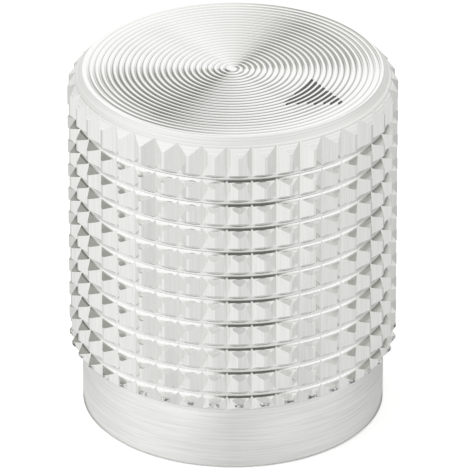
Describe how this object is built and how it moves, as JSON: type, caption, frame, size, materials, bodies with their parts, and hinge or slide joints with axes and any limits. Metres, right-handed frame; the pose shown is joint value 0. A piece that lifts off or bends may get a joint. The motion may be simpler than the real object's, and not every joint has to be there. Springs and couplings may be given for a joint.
{
  "type": "control knob",
  "caption": "Turned aluminium control knob with a cross-cut knurl, a plain neck, a ring-turned top with a painted pointer, and a grub screw to clamp it on a shaft.",
  "frame": {"origin": "centre of the base face, on the shaft axis", "axes": "+Z along the shaft axis from the base to the top face, +X along the pointer"},
  "size_m": [0.016, 0.016, 0.018],
  "materials": {
    "body_aluminium": "bright turned, satin neck",
    "screw_steel": "black oxide",
    "pointer_enamel": "matt black enamel"
  },
  "bodies": {
    "root": {"knob_body": "body_aluminium", "grub_screw": "screw_steel", "pointer_paint": "pointer_enamel"}
  },
  "joints": []
}
